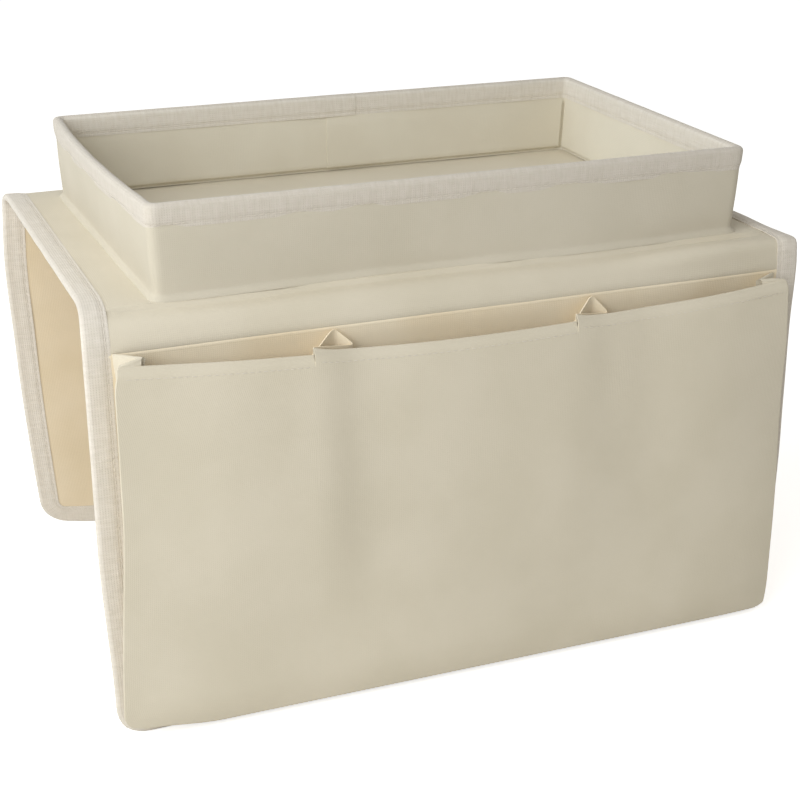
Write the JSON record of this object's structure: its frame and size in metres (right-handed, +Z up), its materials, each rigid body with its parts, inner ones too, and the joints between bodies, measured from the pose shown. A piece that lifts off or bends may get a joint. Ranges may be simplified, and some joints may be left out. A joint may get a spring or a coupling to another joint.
{
  "type": "sofa armrest organizer",
  "caption": "Cloth-covered board saddle that hangs over a sofa armrest, with a rimmed tray on top, hinged flaps and pleated front pockets.",
  "frame": {"origin": "middle of the top panel's underside, where the saddle lies on the armrest", "axes": "+X along the armrest, to the right seen from the pocket side; -Y towards the pocket side; +Z up"},
  "size_m": [0.345, 0.2436, 0.2425],
  "materials": {
    "cover_cloth": "smooth cream cloth",
    "lining_cloth": "smooth cream lining cloth",
    "binding_tape": "woven slub tape",
    "grey_board": "raw board"
  },
  "bodies": {
    "top": {"top_cover": "cover_cloth", "top_board": "grey_board", "top_lining": "lining_cloth", "top_binding_left": "binding_tape", "top_binding_right": "binding_tape", "tray_cover": "cover_cloth", "tray_lining": "lining_cloth", "tray_rim_binding": "binding_tape", "tray_front_board": "grey_board", "tray_back_board": "grey_board", "tray_left_board": "grey_board", "tray_right_board": "grey_board", "front_fold_cover": "cover_cloth", "front_fold_lining": "lining_cloth", "front_fold_binding_left": "binding_tape", "front_fold_binding_right": "binding_tape", "back_fold_cover": "cover_cloth", "back_fold_lining": "lining_cloth", "back_fold_binding_left": "binding_tape", "back_fold_binding_right": "binding_tape"},
    "front_flap": {"front_flap_cover": "cover_cloth", "front_flap_board": "grey_board", "front_flap_lining": "lining_cloth", "front_flap_binding": "binding_tape", "pocket_left": "cover_cloth", "pocket_middle": "cover_cloth", "pocket_right": "cover_cloth"},
    "back_flap": {"back_flap_cover": "cover_cloth", "back_flap_board": "grey_board", "back_flap_lining": "lining_cloth", "back_flap_binding": "binding_tape"}
  },
  "joints": [
    {"name": "front_flap_fold", "type": "hinge", "parent": "top", "child": "front_flap", "pos_m": [0, -0.1045, -0.0045], "axis": [-1, 0, 0], "range_deg": [-90, 89], "deforming": ["front_fold_cover", "front_fold_lining", "front_fold_binding_left", "front_fold_binding_right"]},
    {"name": "back_flap_fold", "type": "hinge", "parent": "top", "child": "back_flap", "pos_m": [0, 0.1077, -0.0013], "axis": [1, 0, 0], "range_deg": [-90.5, 89.5], "deforming": ["back_fold_cover", "back_fold_lining", "back_fold_binding_left", "back_fold_binding_right"]}
  ]
}
